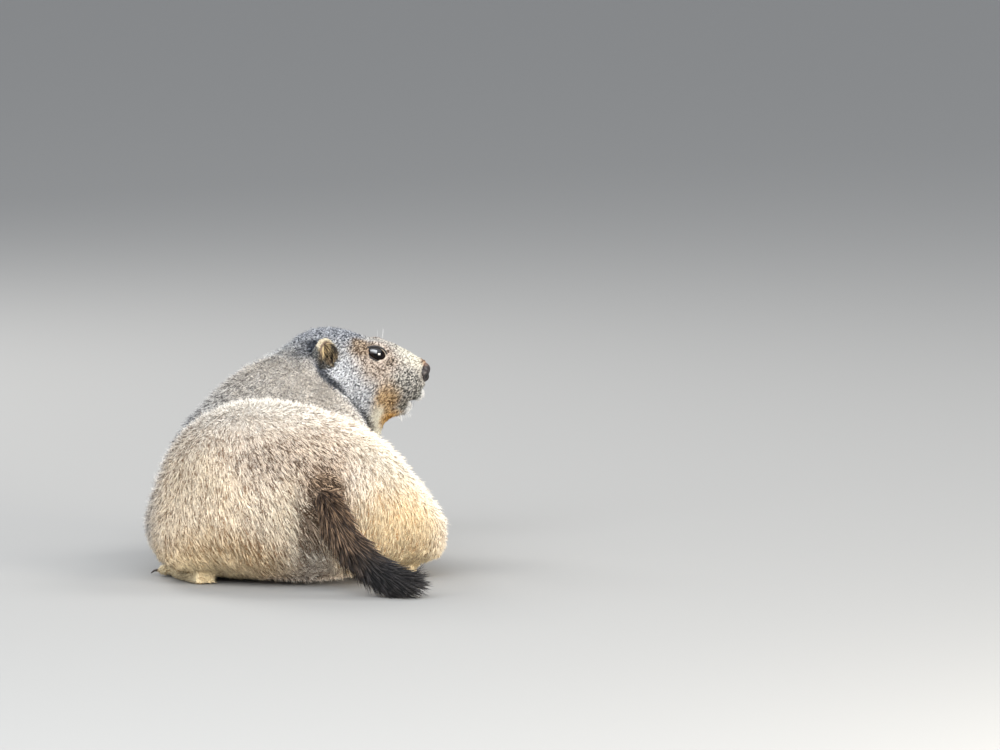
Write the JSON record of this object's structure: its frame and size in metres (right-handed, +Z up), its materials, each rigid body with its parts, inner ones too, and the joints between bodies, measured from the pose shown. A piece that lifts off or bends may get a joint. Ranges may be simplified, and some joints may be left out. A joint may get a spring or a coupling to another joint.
{
  "type": "alpine marmot, life-size still model",
  "caption": "Life-size crouching alpine marmot, head turned to its right, bushy tail swept down beside the rump.",
  "frame": {"origin": "under the middle of the bounding box, on the level floor that the feet and the tail rest on", "axes": "+Z up, +Y the way the trunk faces, +X the animal's right, which is where the head looks"},
  "size_m": [0.27, 0.4376, 0.1919],
  "materials": {
    "grey_coat": "grey agouti guard hair with pale ticking",
    "buff_coat": "buff to golden fur with brown flecks",
    "ear_coat": "short cream fur with a dark hollow",
    "foot_coat": "short ochre fur",
    "tail_coat": "long dark brown hair with a black end",
    "nose_skin": "fine pebbled skin, slightly moist",
    "claw_horn": "dark horn, worn at the tips",
    "eye_gloss": "wet black-brown eyeball"
  },
  "bodies": {
    "root": {"head": "grey_coat", "nose": "nose_skin", "eye_right": "eye_gloss", "eye_left": "eye_gloss", "ear_right": "ear_coat", "ear_left": "ear_coat", "neck": "grey_coat", "chest": "grey_coat", "belly": "grey_coat", "hips": "buff_coat", "tail": "tail_coat", "upper_arm_right": "grey_coat", "forearm_right": "foot_coat", "fore_foot_right": "foot_coat", "thigh_right": "buff_coat", "shank_right": "buff_coat", "hind_foot_right": "foot_coat", "claw_fore_foot_right_1": "claw_horn", "claw_fore_foot_right_2": "claw_horn", "claw_fore_foot_right_3": "claw_horn", "claw_fore_foot_right_4": "claw_horn", "claw_hind_foot_right_1": "claw_horn", "claw_hind_foot_right_2": "claw_horn", "claw_hind_foot_right_3": "claw_horn", "claw_hind_foot_right_4": "claw_horn", "claw_hind_foot_right_5": "claw_horn", "upper_arm_left": "grey_coat", "forearm_left": "foot_coat", "fore_foot_left": "foot_coat", "thigh_left": "buff_coat", "shank_left": "buff_coat", "hind_foot_left": "foot_coat", "claw_fore_foot_left_1": "claw_horn", "claw_fore_foot_left_2": "claw_horn", "claw_fore_foot_left_3": "claw_horn", "claw_fore_foot_left_4": "claw_horn", "claw_hind_foot_left_1": "claw_horn", "claw_hind_foot_left_2": "claw_horn", "claw_hind_foot_left_3": "claw_horn", "claw_hind_foot_left_4": "claw_horn", "claw_hind_foot_left_5": "claw_horn"}
  },
  "joints": []
}
